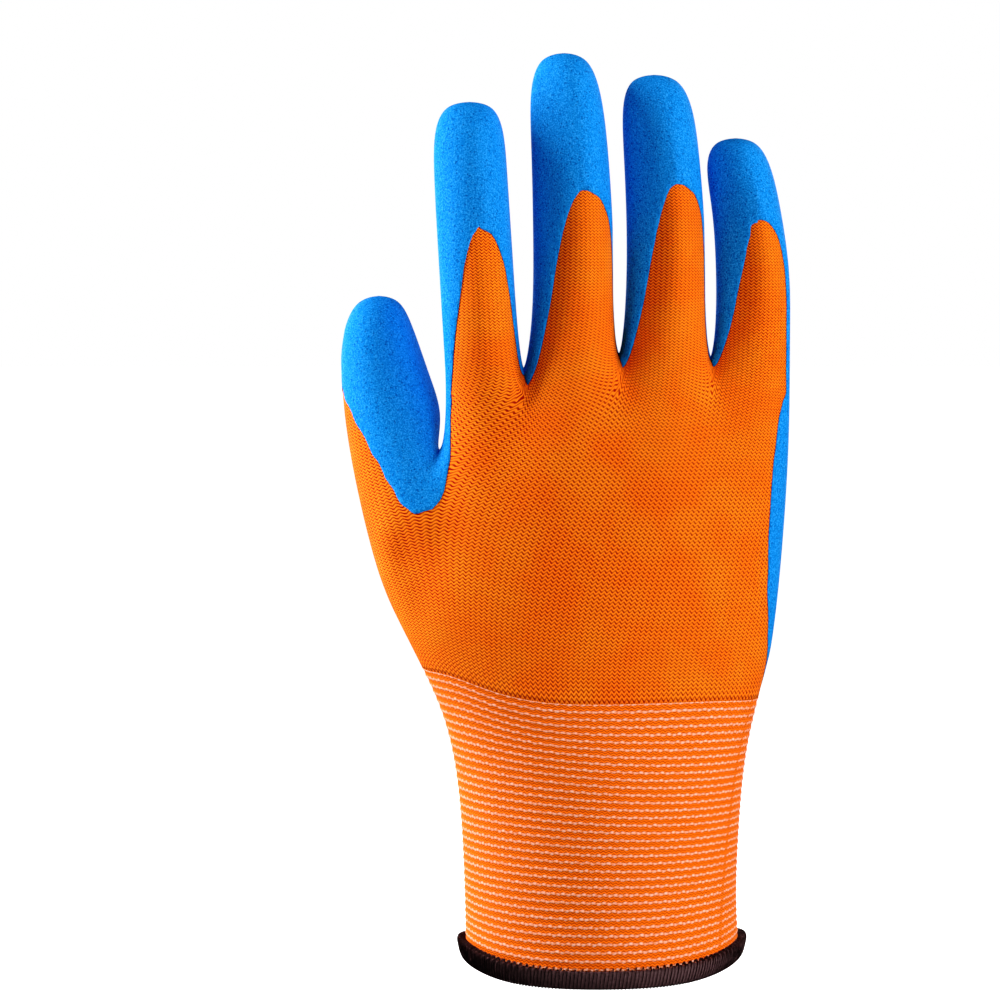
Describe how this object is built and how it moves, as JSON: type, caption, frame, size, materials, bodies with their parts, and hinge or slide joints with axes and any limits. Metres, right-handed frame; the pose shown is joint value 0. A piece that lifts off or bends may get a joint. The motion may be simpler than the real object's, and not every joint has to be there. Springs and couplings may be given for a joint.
{
  "type": "foam-coated knitted safety glove",
  "caption": "Seamless knitted work glove for a right hand, with a foam-dipped palm, fingers and thumb and an elastic knitted cuff with an overlocked edge.",
  "frame": {"origin": "centre of the wrist opening, 1 mm above the hem's lowest edge", "axes": "+Z from the wrist to the fingertips, +X to the little finger's side, -Y out of the back of the hand"},
  "size_m": [0.1219, 0.0567, 0.248],
  "materials": {
    "liner_knit": "orange polyester knit, matt",
    "cuff_knit": "orange knit with pale elastic courses, matt",
    "foam_coating": "blue foam latex with a fine sandy surface, matt",
    "hem_thread": "dark brown overlock thread, matt"
  },
  "bodies": {
    "root": {"knit_body": "liner_knit", "thumb_stall": "liner_knit", "index_stall": "liner_knit", "middle_stall": "liner_knit", "ring_stall": "liner_knit", "little_stall": "liner_knit", "knit_cuff": "cuff_knit", "palm_coating": "foam_coating", "cuff_hem": "hem_thread"}
  },
  "joints": []
}
